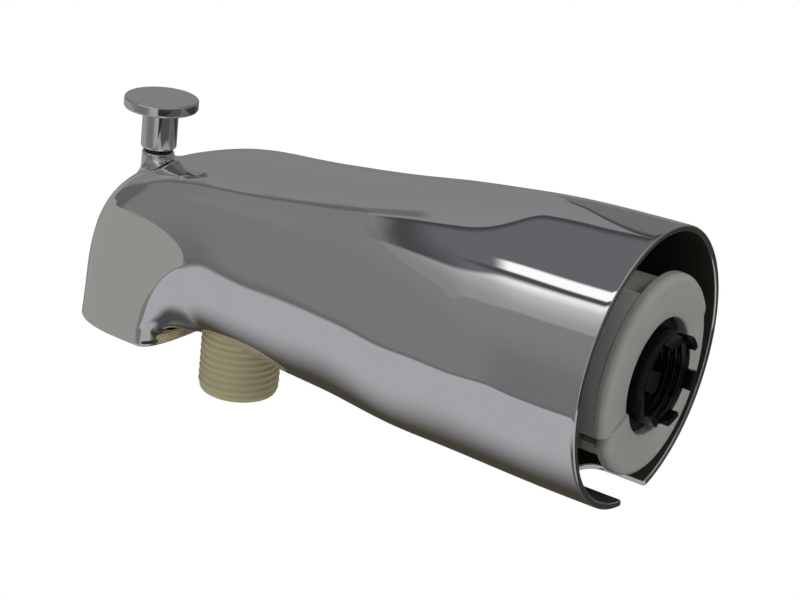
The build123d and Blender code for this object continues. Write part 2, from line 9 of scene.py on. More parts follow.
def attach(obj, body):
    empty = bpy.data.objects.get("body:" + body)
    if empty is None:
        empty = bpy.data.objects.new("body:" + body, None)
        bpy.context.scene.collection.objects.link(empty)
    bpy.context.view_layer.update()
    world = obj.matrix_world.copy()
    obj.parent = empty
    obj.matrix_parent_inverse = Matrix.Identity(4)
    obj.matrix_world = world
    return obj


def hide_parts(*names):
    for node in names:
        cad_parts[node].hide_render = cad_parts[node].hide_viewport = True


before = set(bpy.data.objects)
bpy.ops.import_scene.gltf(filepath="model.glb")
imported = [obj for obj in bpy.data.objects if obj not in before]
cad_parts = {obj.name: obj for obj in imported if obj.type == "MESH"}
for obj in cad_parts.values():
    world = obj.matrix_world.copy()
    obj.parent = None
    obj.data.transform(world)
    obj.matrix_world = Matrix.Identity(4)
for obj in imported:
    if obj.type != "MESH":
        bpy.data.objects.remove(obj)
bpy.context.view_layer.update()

# Spout shell: a hollow moulding in ABS, copper and nickel plated and then chromed outside.
# Its round rear rim closes on the wall and its squared-off neck turns down into the beak.
# The polish stops at its edges: inside, the plating is dull, dark and slightly olive.
MM = 0.001
RIM_RADIUS = 34.0
ELBOW_DISTANCE = 112.0
MOUTH_DROP = 30.5
NECK_TOP = 18.4
NECK_BOTTOM = 26.6
NECK_HALF_WIDTH = 22.1
NOSE_REACH = 46.5
MOUTH_BACK = 14.5
SHELL_WALL = 1.6
LIP_ROUND = 0.45
EDGE_ROUND = 0.3
ROUND_TURNS = (30, 60, 90)

# Straight part: place along it, shares of the way from rim to neck of the top, the bottom
# and the sides, squareness of the upper and lower halves, and crown of the top
STRAIGHT_SECTIONS = [
    (0.000, 0.000, 0.000, 0.000, 2.00, 2.0, 0.0),
    (0.125, 0.032, 0.000, 0.017, 2.00, 2.0, 0.0),
    (0.268, 0.103, 0.014, 0.127, 2.05, 2.0, 0.0),
    (0.402, 0.250, 0.054, 0.339, 2.30, 2.1, 0.2),
    (0.536, 0.430, 0.135, 0.576, 2.80, 2.3, 0.5),
    (0.679, 0.654, 0.446, 0.797, 3.80, 2.6, 1.0),
    (0.839, 0.853, 0.676, 0.932, 5.50, 2.9, 1.4),
    (1.000, 1.000, 1.000, 1.000, 7.50, 3.0, 1.6),
]
# Elbow: turn, bulge of the nose, lift of the underside, height that parts the halves,
# squareness and crown
ELBOW_SECTIONS = [
    (22.5, 3.4, -9.5, 27.0, 8.0, 2.8, 2.2),
    (45.0, 6.1, -8.4, 24.0, 6.0, 2.7, 5.0),
    (67.5, 1.7, -2.5, 21.0, 4.5, 2.7, 4.0),
    (80.0, -0.3, 0.2, 20.0, 3.8, 2.7, 2.5),
    (90.0, 0.0, 0.0, 19.5, 3.4, 2.7, 1.5),
]
SHELL_ROWS = 196
SHELL_COLUMNS = 184
CORNER_CROWDING = 0.09


def blend(start, end, share):
    return start + (end - start) * share


def squared_oval(turn, half_width, up, down, n_up, n_down, crown, inset):
    """Across and up for each direction of one squared-off oval, moved in by inset."""
    across, rise = np.cos(turn), np.sin(turn)
    upper = rise >= 0
    power = np.where(upper, n_up, n_down)
    reach = (np.abs(across) ** power + np.abs(rise) ** power) ** (-1 / power)
    drop = np.where(upper, crown * (reach * across) ** 2, 0)
    height = np.where(upper, up, down) - inset - drop
    return (half_width - inset) * reach * across, height * reach * rise


def shell_stations(turn, inset):
    """The shell's cross-sections from the rim to the mouth, as rows of points."""
    rows = []
    for along, top, bottom, side, n_up, n_down, crown in STRAIGHT_SECTIONS:
        x, h = squared_oval(
            turn,
            blend(RIM_RADIUS, NECK_HALF_WIDTH, side),
            blend(RIM_RADIUS, NECK_TOP, top),
            blend(RIM_RADIUS, NECK_BOTTOM, bottom),
            n_up, n_down, crown, inset,
        )
        rows.append(np.stack([x, 0 * x - ELBOW_DISTANCE * along, h], axis=1))
    for angle, bulge, lift, split, n_up, n_down, crown in ELBOW_SECTIONS:
        forward, upward = sin(radians(angle)), cos(radians(angle))
        x, h = squared_oval(
            turn,
            NECK_HALF_WIDTH,
            NOSE_REACH + bulge - split,
            split - MOUTH_BACK - lift,
            n_up, n_down, crown, inset,
        )
        y = -ELBOW_DISTANCE - (split + h) * forward
        z = -MOUTH_DROP + (split + h) * upward
        rows.append(np.stack([x, y, z], axis=1))
    return np.array(rows)


def spline_rows(knots, rows, places):
    """Smooth rows at new places, by a natural cubic spline through the given ones."""
    step = np.diff(knots)
    slope = np.diff(rows, axis=0) / step[:, None, None]
    system = np.eye(len(knots))
    bend = np.zeros_like(rows)
    for i in range(1, len(knots) - 1):
        system[i, i - 1 : i + 2] = step[i - 1], 2 * (step[i - 1] + step[i]), step[i]
        bend[i] = 6 * (slope[i] - slope[i - 1])
    bend = np.linalg.solve(system, bend.reshape(len(knots), -1)).reshape(rows.shape)
    i = np.clip(np.searchsorted(knots, places) - 1, 0, len(knots) - 2)
    h = step[i][:, None, None]
    a = (knots[i + 1] - places)[:, None, None] / h
    b = 1 - a
    curve = ((a**3 - a) * bend[i] + (b**3 - b) * bend[i + 1]) * h * h / 6
    return a * rows[i] + b * rows[i + 1] + curve


# The columns crowd towards the corners of the squared-off sections
quarter = np.linspace(0, 1, SHELL_COLUMNS // 4, endpoint=False)
quarter = quarter + CORNER_CROWDING * np.sin(4 * pi * quarter) / 2
turns = np.concatenate([(quarter + q) * pi / 2 for q in range(4)])
outer_stations = shell_stations(turns, 0)
chords = np.linalg.norm(np.diff(outer_stations, axis=0), axis=2).mean(axis=1)
knots = np.concatenate([[0], np.cumsum(chords)])
places = np.linspace(LIP_ROUND, knots[-1] - LIP_ROUND, SHELL_ROWS)
outer = spline_rows(knots, outer_stations, places)
inner = spline_rows(knots, shell_stations(turns, SHELL_WALL), places)


def lip(start, end, direction):
    """Rings of a rounded edge from one skin to the other, round the wall's end."""
    rings = []
    share = LIP_ROUND / SHELL_WALL
    for angle in ROUND_TURNS:
        rings.append((share * (1 - cos(radians(angle))), sin(radians(angle))))
    rings += [(1 - f, s) for f, s in reversed(rings)]
    return [
        start * (1 - f) + end * f + np.array(direction) * LIP_ROUND * s for f, s in rings
    ]


mouth_lip = lip(outer[-1], inner[-1], (0, 0, -1))
rim_lip = lip(inner[0], outer[0], (0, 1, 0))
skin = np.array([*outer, *mouth_lip, *inner[::-1], *rim_lip])
inner_first = SHELL_ROWS + len(mouth_lip)
rim_first = inner_first + SHELL_ROWS

# What is cut from the shell, as a distance outside each cut's edge: the U-shaped slot
# under the rim, the round hole of the hose outlet and the round root of the knob's boss
SLOT_MIDDLE = -2.0
SLOT_HALF_WIDTH = 6.0
SLOT_LENGTH = 17.0
OUTLET_Y = -114.2
OUTLET_HOLE_RADIUS = 11.375
ROD_Y = -145.8
BOSS_RADIUS = 4.15
BOSS_TOP = 13.2
BOSS_FLARE = 2.7
BOSS_EDGE = 0.35
BOSS_HOLE = 2.95
BOSS_HOLE_EDGE = 0.15
BOSS_SURROUND = 3.0
UNDERSIDE_END = -128.0
SNAP = 0.02
FAR = 1e3

x, y, z = outer[..., 0], outer[..., 1], outer[..., 2]
slot_end = np.minimum(0, y + SLOT_LENGTH - SLOT_HALF_WIDTH)
slot_gap = np.hypot(x - SLOT_MIDDLE, slot_end) - SLOT_HALF_WIDTH - EDGE_ROUND
slot_gap = np.where((z < 0) & (y > -2 * SLOT_LENGTH), slot_gap, FAR)
outlet_gap = np.hypot(x, y - OUTLET_Y) - OUTLET_HOLE_RADIUS - EDGE_ROUND
outlet_gap = np.where((z < -NECK_BOTTOM / 2) & (y > UNDERSIDE_END), outlet_gap, FAR)
boss_gap = np.hypot(x, y - ROD_Y) - BOSS_RADIUS - BOSS_FLARE
boss_gap = np.where(z > 0, boss_gap, FAR)
gap = np.minimum(np.minimum(slot_gap, outlet_gap), boss_gap)
gap = np.where(np.abs(gap) < SNAP, SNAP, gap)
gaps = np.concatenate([
    gap,
    np.full((len(mouth_lip), len(turns)), FAR),
    gap[::-1],
    np.repeat(gap[:1], len(rim_lip), axis=0),
])

near_boss = boss_gap < BOSS_SURROUND
boss_powers = [(i, j) for i in (0, 2, 4) for j in range(7 - i)]


def boss_terms(px, py):
    return np.stack([px**i * ((py - ROD_Y) / 10) ** j for i, j in boss_powers], axis=-1)


def fit_height(points):
    """A smooth height over the plan, close to the given skin round the boss."""
    chosen = points[near_boss]
    terms = boss_terms(chosen[:, 0], chosen[:, 1])
    answer = np.linalg.lstsq(terms, chosen[:, 2], rcond=None)[0]
    return lambda px, py: float(boss_terms(np.array(px), np.array(py)) @ answer)


outer_height = fit_height(outer)
inner_height = fit_height(inner)


def boss_chain(p, q):
    """Points from the shell up the flared boss, over its top, down its hole and out
    along the inner skin. The number tells how many of them are chromed."""
    angle = atan2(p[1] - ROD_Y, p[0])
    dx, dy = cos(angle), sin(angle)
    start = hypot(p[0], p[1] - ROD_Y)
    end = hypot(q[0], q[1] - ROD_Y)
    at = lambda r, height: np.array([r * dx, ROD_Y + r * dy, height])
    outer_off = p[2] - outer_height(p[0], p[1])
    inner_off = q[2] - inner_height(q[0], q[1])
    wall_top = BOSS_TOP - BOSS_EDGE
    root = outer_height(BOSS_RADIUS * dx, ROD_Y + BOSS_RADIUS * dy)
    rise = wall_top - root
    flare = BOSS_FLARE * (1 - np.exp(-rise / BOSS_FLARE)) if rise > 0 else rise
    chain = []
    for t in (0.1, 0.2, 0.3, 0.4, 0.5, 0.6, 0.7, 0.79, 0.87, 0.93, 0.975, 1.0):
        r = blend(start, BOSS_RADIUS, t)
        height = outer_height(r * dx, ROD_Y + r * dy) + outer_off * (1 - t)
        chain.append(at(r, height + flare * (1 - (1 - t * t) ** 0.5)))
    for t in (0.33, 0.66, 1):
        chain.append(at(BOSS_RADIUS, blend(root + flare, wall_top, t)))
    for turn in ROUND_TURNS:
        r = BOSS_RADIUS - BOSS_EDGE * (1 - cos(radians(turn)))
        chain.append(at(r, wall_top + BOSS_EDGE * sin(radians(turn))))
    chain.append(at(BOSS_HOLE + BOSS_HOLE_EDGE, BOSS_TOP))
    chain.append(at(BOSS_HOLE, BOSS_TOP - BOSS_HOLE_EDGE))
    chromed = len(chain)
    for t in (0, 0.35, 0.7):
        r = blend(BOSS_HOLE, end, t)
        height = inner_height(r * dx, ROD_Y + r * dy) + inner_off * t
        chain.append(at(r, height))
    return chain, chromed


def edge_chain(p, q):
    """Points of a cut edge through the wall, rounded at both skins."""
    if hypot(p[0], p[1] - OUTLET_Y) < 1.5 * OUTLET_HOLE_RADIUS:
        inward = np.array([-p[0], OUTLET_Y - p[1], 0.0])
    else:
        to_slot = max(0.0, SLOT_HALF_WIDTH - SLOT_LENGTH - p[1])
        inward = np.array([SLOT_MIDDLE - p[0], to_slot, 0.0])
    through = (q - p) / np.linalg.norm(q - p)
    inward -= through * (inward @ through)
    inward /= np.linalg.norm(inward)
    half = [
        (EDGE_ROUND * sin(radians(turn)), EDGE_ROUND * (1 - cos(radians(turn))))
        for turn in ROUND_TURNS
    ]
    chain = [p + inward * side + through * deep for side, deep in half]
    chain += [q + inward * side - through * deep for side, deep in reversed(half)]
    return chain, len(chain)


def cut_skin():
    """Points and faces of the whole shell, with the cuts' walls and the boss."""
    points, faces, finishes = [], [], []
    corner_of, edge_of, chain_of = {}, {}, {}

    def keep(point):
        points.append(tuple(point))
        return len(points) - 1

    def corner(r, c):
        if (r, c) not in corner_of:
            corner_of[r, c] = keep(skin[r, c])
        return corner_of[r, c]

    def crossing(a, b):
        key = (a, b) if a < b else (b, a)
        if key not in edge_of:
            (ra, ca), (rb, cb) = key
            t = gaps[ra, ca] / (gaps[ra, ca] - gaps[rb, cb])
            edge_of[key] = keep(skin[ra, ca] * (1 - t) + skin[rb, cb] * t)
        return edge_of[key]

    def partner(edge):
        (ra, ca), (rb, cb) = edge
        last = inner_first + SHELL_ROWS - 1
        return crossing((last - ra, ca), (last - rb, cb))

    def chain(edge):
        first = crossing(*edge)
        if first not in chain_of:
            last = partner(edge)
            p, q = np.array(points[first]), np.array(points[last])
            maker = boss_chain if p[2] > 0 else edge_chain
            between, chromed = maker(p, q)
            chain_of[first] = [first, *[keep(b) for b in between], last], chromed
        return chain_of[first]

    rows, columns = len(skin), len(turns)
    for r in range(rows):
        for c in range(columns):
            r2, c2 = (r + 1) % rows, (c + 1) % columns
            cell = [(r, c), (r2, c), (r2, c2), (r, c2)]
            levels = [gaps[k] for k in cell]
            if max(levels) < 0:
                continue
            loop, cut = [], []
            for k in range(4):
                a, b = cell[k], cell[(k + 1) % 4]
                if levels[k] > 0:
                    loop.append(corner(*a))
                if (levels[k] > 0) != (levels[(k + 1) % 4] > 0):
                    loop.append(crossing(a, b))
                    cut.append((a, b))
            faces.append(loop)
            dull = inner_first <= r < rim_first - 1
            finishes.append(int(dull))
            if len(cut) == 2 and r < SHELL_ROWS - 1:
                (one, chromed), (two, _) = chain(cut[0]), chain(cut[1])
                for k in range(len(one) - 1):
                    faces.append([one[k], one[k + 1], two[k + 1], two[k]])
                    finishes.append(int(k >= chromed))
    # The slot's two walls end in the rounded rim
    for c in range(columns):
        c2 = (c + 1) % columns
        if (gaps[0, c] > 0) != (gaps[0, c2] > 0):
            wall, _ = chain(((0, c), (0, c2)))
            rim = [crossing((r, c), (r, c2)) for r in range(rim_first, rows)]
            faces.append([*wall, *rim])
            finishes.append(0)
    return points, faces, finishes


WELD = 0.004 * MM


def mesh_piece(name, points, faces, materials, finishes=None, sharp=35):
    """A closed, smooth-shaded mesh object with its faces turned outwards."""
    mesh = bpy.data.meshes.new(name)
    mesh.from_pydata([tuple(MM * v for v in p) for p in points], [], faces)
    if finishes is not None:
        mesh.polygons.foreach_set("material_index", finishes)
    work = bmesh.new()
    work.from_mesh(mesh)
    bmesh.ops.remove_doubles(work, verts=work.verts, dist=WELD)
    bmesh.ops.dissolve_degenerate(work, edges=work.edges, dist=WELD)
    bmesh.ops.recalc_face_normals(work, faces=work.faces)
    for face in work.faces:
        face.smooth = True
    work.to_mesh(mesh)
    work.free()
    for material in materials:
        mesh.materials.append(material)
    mesh.set_sharp_from_angle(angle=radians(sharp))
    piece = bpy.data.objects.new(name, mesh)
    bpy.context.scene.collection.objects.link(piece)
    return piece


class Wire:
    """A value that flows between nodes. Arithmetic on it adds Math nodes."""

    def __init__(self, recipe, node, output=0):
        self.recipe = recipe
        self.node = node
        self.output = output

    @property
    def socket(self):
        return self.node.outputs[self.output]

    def out(self, output):
        """Another output of the same node."""
        return Wire(self.recipe, self.node, output)

    def maths(self, operation, first, second):
        return self.recipe.add("ShaderNodeMath", {"operation": operation}, [first, second])

    def __add__(self, other):
        return self.maths("ADD", self, other)

    def __sub__(self, other):
        return self.maths("SUBTRACT", self, other)

    def __rsub__(self, other):
        return self.maths("SUBTRACT", other, self)

    def __mul__(self, other):
        return self.maths("MULTIPLY", self, other)

    def __truediv__(self, other):
        return self.maths("DIVIDE", self, other)


class Recipe:
    """The node tree of one finish, or of the studio."""

    def __init__(self, owner):
        owner.use_nodes = True
        self.tree = owner.node_tree
        self.tree.nodes.clear()

    def add(self, kind, settings=None, inputs=(), output=0):
        """A node with its settings made first, then its sockets given or linked."""
        node = self.tree.nodes.new(kind)
        for name, value in (settings or {}).items():
            if name == "stops":
                stops = node.color_ramp.elements
                while len(stops) < len(value):
                    stops.new(0.5)
                for stop, (place, colour) in zip(stops, value):
                    stop.position = place
                    stop.color = (*colour, 1)
            else:
                setattr(node, name, value)
        pairs = inputs.items() if isinstance(inputs, dict) else enumerate(inputs)
        for key, value in pairs:
            if isinstance(value, Wire):
                self.tree.links.new(value.socket, node.inputs[key])
            else:
                node.inputs[key].default_value = value
        return Wire(self, node, output)

    def rise(self, value, low, high):
        """A smooth way from 0 at low to 1 at high."""
        return self.add(
            "ShaderNodeMapRange", {"interpolation_type": "SMOOTHSTEP"}, [value, low, high]
        )

    def mix(self, mask, below, above):
        """One colour laid over another where the mask is 1."""
        colours = {0: mask, 6: below, 7: above}
        return self.add("ShaderNodeMix", {"data_type": "RGBA"}, colours, output=2)

    def place(self):
        return self.add("ShaderNodeTexCoord", output=3)

    def noise(self, scale, detail, vector=None):
        """Soft random values, with the scale in lumps for each metre."""
        inputs = {"Vector": vector or self.place(), "Scale": scale, "Detail": detail}
        return self.add("ShaderNodeTexNoise", None, inputs)

    def bump(self, height, strength, distance, normal=None):
        inputs = {"Strength": strength, "Distance": distance, "Height": height}
        if normal is not None:
            inputs["Normal"] = normal
        return self.add("ShaderNodeBump", None, inputs)

    def surface(self, **sockets):
        inputs = {name.replace("_", " "): value for name, value in sockets.items()}
        shader = self.add("ShaderNodeBsdfPrincipled", None, inputs)
        self.add("ShaderNodeOutputMaterial", None, [shader])


def seen(red, green, blue):
    """A colour as it looks, in parts of 255, turned to linear light."""
    linear = []
    for part in (red, green, blue):
        value = part / 255
        linear.append(value / 12.92 if value <= 0.04045 else ((value + 0.055) / 1.055) ** 2.4)
    return tuple(linear)


def paint(red, green, blue):
    return (*seen(red, green, blue), 1)


def chrome_finish(name, roughness, lean=None):
    """Bright chrome with a breath of haze, and the faint swirls of wiping."""
    finish = bpy.data.materials.new(name)
    recipe = Recipe(finish)
    haze = recipe.noise(90.0, 4.0)
    swirl = recipe.noise(900.0, 2.0)
    normal = lean(recipe) if lean else None
    recipe.surface(
        Base_Color=recipe.mix(haze, (0.87, 0.872, 0.875, 1), (0.90, 0.90, 0.90, 1)),
        Metallic=1.0,
        Roughness=haze * 0.012 + swirl * 0.006 + roughness,
        Normal=recipe.bump(recipe.noise(38.0, 1.0), 0.012, 0.001, normal),
    )
    return finish


# How far the polished sides turn from the sections' own faces, as slopes: down along the
# neck, under it and at the rim, and forwards at the shoulder and on the beak's cheeks
NECK_LEAN = 0.064
UNDER_LEAN = 0.16
RIM_LEAN = 0.03
SHOULDER_TURN = 0.03
CHEEK_TURN = 0.17
CHEEK_LEAN = 0.02
# The cheek's edge: an arch from its foot up to a crest, then a fall, and a curl behind
CHEEK_FOOT = -3.5
CHEEK_RISE = 7.8
CHEEK_CREST = 136.0
CHEEK_ARCH = 18.0
CHEEK_BACK = 130.8
CHEEK_CURL = 13.0


def moulded_lean(recipe):
    """The fall of the polished sides, finer than the sections give. From the middle of the
    neck on they lean under by about 4 degrees, and by up to 12 low down. The cheeks of the
    beak turn in forwards by about 10 degrees, behind a soft line."""
    rise = recipe.rise
    where = recipe.add("ShaderNodeSeparateXYZ", None, [recipe.place()])
    across = recipe.add("ShaderNodeMath", {"operation": "ABSOLUTE"}, [where.out(0) * 1000])
    ahead, height = where.out(1) * -1000, where.out(2) * 1000
    middle = rise(height, 10, 2)
    upper = rise(ahead, 64, 80) * rise(height, 4, 10) * rise(ahead, 130, 118)
    lower = rise(height, -5, -17) * rise(ahead, 127, 119)
    neck = rise(ahead, 52, 80) * (lower * UNDER_LEAN + NECK_LEAN)
    back = recipe.add("ShaderNodeMath", {"operation": "SUBTRACT", "use_clamp": True}, [
        CHEEK_CREST / CHEEK_ARCH, ahead / CHEEK_ARCH,
    ])
    arch = recipe.add("ShaderNodeMath", {"operation": "SQRT"}, [1.0 - back * back])
    past = recipe.add("ShaderNodeMath", {"operation": "MAXIMUM"}, [ahead - CHEEK_CREST, 0.0])
    cheek_top = arch * CHEEK_RISE - past * past * 0.02 + CHEEK_FOOT
    curl = recipe.add("ShaderNodeMath", {"operation": "EXPONENT"}, [(height + 4.5) / 8])
    cheek_rear = ahead + curl * CHEEK_CURL - CHEEK_BACK
    cheek = rise(cheek_top - height, -0.4, 0.3) * rise(cheek_rear, -0.3, 0.3)
    cheek = cheek * rise(ahead, 117, 118.5) * rise(across, 14, 19)
    beside = 1.0 - cheek
    forward = cheek * -CHEEK_TURN - upper * SHOULDER_TURN
    down = (neck * beside + rise(ahead, 18, 2) * RIM_LEAN) * middle * -1.0 - cheek * CHEEK_LEAN
    turn = recipe.add("ShaderNodeCombineXYZ", None, [0.0, forward, down])
    face = recipe.add("ShaderNodeNewGeometry", None, (), output="Normal")
    leaned = recipe.add("ShaderNodeVectorMath", None, [face, turn])
    return recipe.add("ShaderNodeVectorMath", {"operation": "NORMALIZE"}, [leaned])


shell_chrome = chrome_finish("shell_chrome", 0.006, moulded_lean)

bare_plating = bpy.data.materials.new("bare_plating")
recipe = Recipe(bare_plating)
blotch = recipe.noise(120.0, 4.0)
recipe.surface(
    Base_Color=recipe.mix(blotch, paint(34, 33, 28), paint(48, 46, 39)),
    Metallic=0.25,
    Roughness=blotch * 0.2 + 0.42,
    Normal=recipe.bump(recipe.noise(700.0, 3.0), 0.15, 0.0003),
)

points, faces, finishes = cut_skin()
shell = mesh_piece("shell", points, faces, [shell_chrome, bare_plating], finishes)
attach(shell, "housing")
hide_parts("spout_shell")

# Diverter knob: one zinc casting, turned, polished and chromed. A thick flat disc with
# softened edges stands on a plain hub, which screws onto the lift rod from above.
KNOB_RADIUS = 9.54
KNOB_TOP = 27.5
KNOB_DISC = 2.8
HUB_RADIUS = 4.6
HUB_BOTTOM = 14.1
HUB_SOFT = 0.8
DISC_SOFT = 0.55
ROD_SOCKET = 1.65
ROD_SOCKET_TOP = 20.5
SOCKET_CHAMFER = 0.3
DISC_FILLET = 0.25


def arc(centre, radius, start, end, steps=5):
    """Points of an arc in a turned profile, in degrees."""
    angles = [radians(blend(start, end, i / steps)) for i in range(steps + 1)]
    return [(centre[0] + radius * cos(a), centre[1] + radius * sin(a)) for a in angles]


def turned(profile, segments, place):
    """Points and faces of a turned piece, from radius and level along its axis."""
    points, faces = [], []
    for radius, level in profile:
        for s in range(segments):
            angle = 2 * pi * s / segments
            points.append(place(radius * cos(angle), radius * sin(angle), level))
    for i in range(len(profile) - 1):
        here, there = i * segments, (i + 1) * segments
        for s in range(segments):
            t = (s + 1) % segments
            faces.append([here + s, here + t, there + t, there + s])
    return points, faces


def on_rod(across, along, level):
    return across, ROD_Y + along, level


disc_bottom = KNOB_TOP - KNOB_DISC
knob_profile = [(0, ROD_SOCKET_TOP), (ROD_SOCKET, ROD_SOCKET_TOP)]
knob_profile += [(ROD_SOCKET, HUB_BOTTOM + SOCKET_CHAMFER), (ROD_SOCKET + SOCKET_CHAMFER, HUB_BOTTOM)]
knob_profile += arc((HUB_RADIUS - HUB_SOFT, HUB_BOTTOM + HUB_SOFT), HUB_SOFT, -90, 0)
knob_profile += [(HUB_RADIUS, blend(HUB_BOTTOM, disc_bottom, s)) for s in (0.35, 0.6, 0.85)]
knob_profile += arc((HUB_RADIUS + DISC_FILLET, disc_bottom - DISC_FILLET), DISC_FILLET, 180, 90, 3)
knob_profile += [(HUB_RADIUS + 2, disc_bottom), (KNOB_RADIUS - DISC_SOFT - 0.6, disc_bottom)]
knob_profile += arc((KNOB_RADIUS - DISC_SOFT, disc_bottom + DISC_SOFT), DISC_SOFT, -90, 0)
knob_profile += arc((KNOB_RADIUS - DISC_SOFT, KNOB_TOP - DISC_SOFT), DISC_SOFT, 0, 90)
knob_profile += [(KNOB_RADIUS * s, KNOB_TOP) for s in (0.85, 0.6, 0.3)]
knob_profile += [(0, KNOB_TOP)]
knob_chrome = chrome_finish("knob_chrome", 0.01)
points, faces = turned(knob_profile, 128, on_rod)
knob = mesh_piece("knob", points, faces, [knob_chrome], sharp=50)
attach(knob, "diverter")
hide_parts("diverter_knob")

# Adapter ring: white nylon with a little lustre. Its face rises in two ramps to a step
# on each side, where the rim is notched, and two curved lugs reach back into the shell.
INLET_Z = -1.1
RING_RADIUS = 24.2
RING_BORE = 14.0
RING_BACK = -0.8
RING_FACE = 2.3
RING_RAMP = 0.35
RING_SHOULDER = 1.9
RING_EDGE = 0.5
RING_CHAMFER = 0.2
RING_BORE_MIDDLE = -6.0
RING_STEP = -22.0
STEP_HALF = 0.2
STEP_SHARE = 0.6
NOTCH_SWEEP = 7.0
NOTCH_DEPTH = 2.2
NOTCH_ANGLES = (-8.5, -7, -5, -3, -1.5, -0.6, -STEP_HALF, STEP_HALF, 0.6, 1.5, 3)
RAMP_STEPS = 56
LUG_RADIUS = 24.1
LUG_THICKNESS = 2.3
LUG_SWEEP = 88.0
LUG_LENGTH = 11.2
LUG_SOFT = 0.4
LUG_STEPS = 44
SPIGOT_RADIUS = 17.3
SPIGOT_END = -22.0
SEAL_GROOVES = ((-10.6, -13.0), (-16.6, -19.0))
SEAL_GROOVE_DEPTH = 1.6


def on_inlet(across, up, level):
    return across, level, INLET_Z + up


def nylon_finish(name, dark, light, lustre):
    """Moulded nylon: slightly mottled, soft to light, with the finest grain."""
    finish = bpy.data.materials.new(name)
    recipe = Recipe(finish)
    cloud = recipe.noise(60.0, 3.0)
    grain = recipe.noise(2600.0, 2.0)
    recipe.surface(
        Base_Color=recipe.mix(cloud, dark, light),
        Roughness=cloud * 0.12 + lustre,
        Normal=recipe.bump(grain, 0.05, 0.0002),
        Subsurface_Weight=0.25,
        Subsurface_Scale=0.002,
        Subsurface_Radius=(1.0, 0.9, 0.7),
    )
    return finish


ring_angles = []
ramp_start = NOTCH_ANGLES[-1]
ramp_sweep = 180 + NOTCH_ANGLES[0] - ramp_start
for half in (0, 180):
    ring_angles += [half + angle for angle in NOTCH_ANGLES]
    ring_angles += [half + ramp_start + ramp_sweep * i / RAMP_STEPS for i in range(1, RAMP_STEPS)]
groove_bottom = SPIGOT_RADIUS - SEAL_GROOVE_DEPTH
ring_points, ring_faces = [], []
for angle in ring_angles:
    before = (angle + 90) % 180 - 90
    level = RING_FACE - RING_RAMP * (1 - angle % 180 / 90)
    if -STEP_HALF <= before < STEP_HALF:
        level = RING_FACE
    depth = 0.0
    if before <= -STEP_HALF:
        depth = NOTCH_DEPTH * max(0.0, 1 + before / NOTCH_SWEEP)
    elif before <= STEP_HALF:
        depth = NOTCH_DEPTH * STEP_SHARE
    radius = RING_RADIUS - depth
    shoulder = radius - RING_SHOULDER
    profile = arc((RING_BORE + RING_EDGE, level - RING_EDGE), RING_EDGE, 180, 90, 3)
    profile += [(blend(RING_BORE + RING_EDGE, shoulder, s), level) for s in (0.25, 0.5, 0.75)]
    profile += arc((shoulder, level - RING_SHOULDER), RING_SHOULDER, 90, 0, 6)
    profile += [(radius, RING_BACK + RING_CHAMFER), (radius - RING_CHAMFER, RING_BACK)]
    profile.append((SPIGOT_RADIUS, RING_BACK))
    for near, far in SEAL_GROOVES:
        profile += [(SPIGOT_RADIUS, near), (groove_bottom, near)]
        profile += [(groove_bottom, far), (SPIGOT_RADIUS, far)]
    profile += [(SPIGOT_RADIUS, SPIGOT_END), (RING_BORE, SPIGOT_END), (RING_BORE, RING_BORE_MIDDLE)]
    turn = radians(RING_STEP + angle)
    ring_points += [on_inlet(r * cos(turn), r * sin(turn), h) for r, h in profile]
profile_size = len(profile)
for a in range(len(ring_angles)):
    here = a * profile_size
    there = (a + 1) % len(ring_angles) * profile_size
    for k in range(profile_size):
        m = (k + 1) % profile_size
        ring_faces.append([here + k, here + m, there + m, there + k])
lug_inner = LUG_RADIUS - LUG_THICKNESS
lug_end = RING_BACK - LUG_LENGTH
lug_loop = [
    (LUG_RADIUS, RING_BACK + LUG_SOFT),
    (LUG_RADIUS, lug_end + LUG_SOFT),
    (LUG_RADIUS - LUG_SOFT, lug_end),
    (lug_inner + LUG_SOFT, lug_end),
    (lug_inner, lug_end + LUG_SOFT),
    (lug_inner, RING_BACK + LUG_SOFT),
]
lug_size = len(lug_loop)
for half in (0, 180):
    first = len(ring_points)
    for i in range(LUG_STEPS + 1):
        turn = radians(RING_STEP + half + LUG_SWEEP * i / LUG_STEPS)
        ring_points += [on_inlet(r * cos(turn), r * sin(turn), h) for r, h in lug_loop]
    for i in range(LUG_STEPS):
        here = first + i * lug_size
        there = here + lug_size
        for k in range(lug_size):
            m = (k + 1) % lug_size
            ring_faces.append([here + k, here + m, there + m, there + k])
    ring_faces.append([first + k for k in range(lug_size)])
    ring_faces.append([first + LUG_STEPS * lug_size + k for k in range(lug_size)])
white_nylon = nylon_finish("ring_nylon", paint(117, 117, 114), paint(128, 128, 124), 0.28)
ring = mesh_piece("ring", ring_points, ring_faces, [white_nylon], sharp=40)
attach(ring, "housing")
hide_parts("adapter_ring")

# Threaded insert: black glass-filled plastic, glossy where the mould was polished. A crown
# of six fingers stands proud of the ring, and a pipe thread runs down its bore.
INSERT_RADIUS = 11.3
INSERT_FACE = 4.55
INSERT_END = -21.0
COLLAR_FACE = 0.0
COLLAR_RADIUS = 13.95
THREAD_CREST = 9.6
THREAD_ROOT = 10.45
THREAD_PITCH = 1.814
THREAD_START = INSERT_FACE - 0.3
THREAD_END = -15.0
WASHER_SEAT = -17.0
WASHER_SEAT_RADIUS = 9.2
WATERWAY_RADIUS = 7.5
FINGER_COUNT = 6
FINGER_HEIGHT = 2.15
FINGER_SWEEP = 26.0
FINGER_START = 3.0
FINGER_INNER = 9.9
FINGER_STEPS = 12
FINGER_SOFT = 0.22
SHARP_EDGE = 0.8


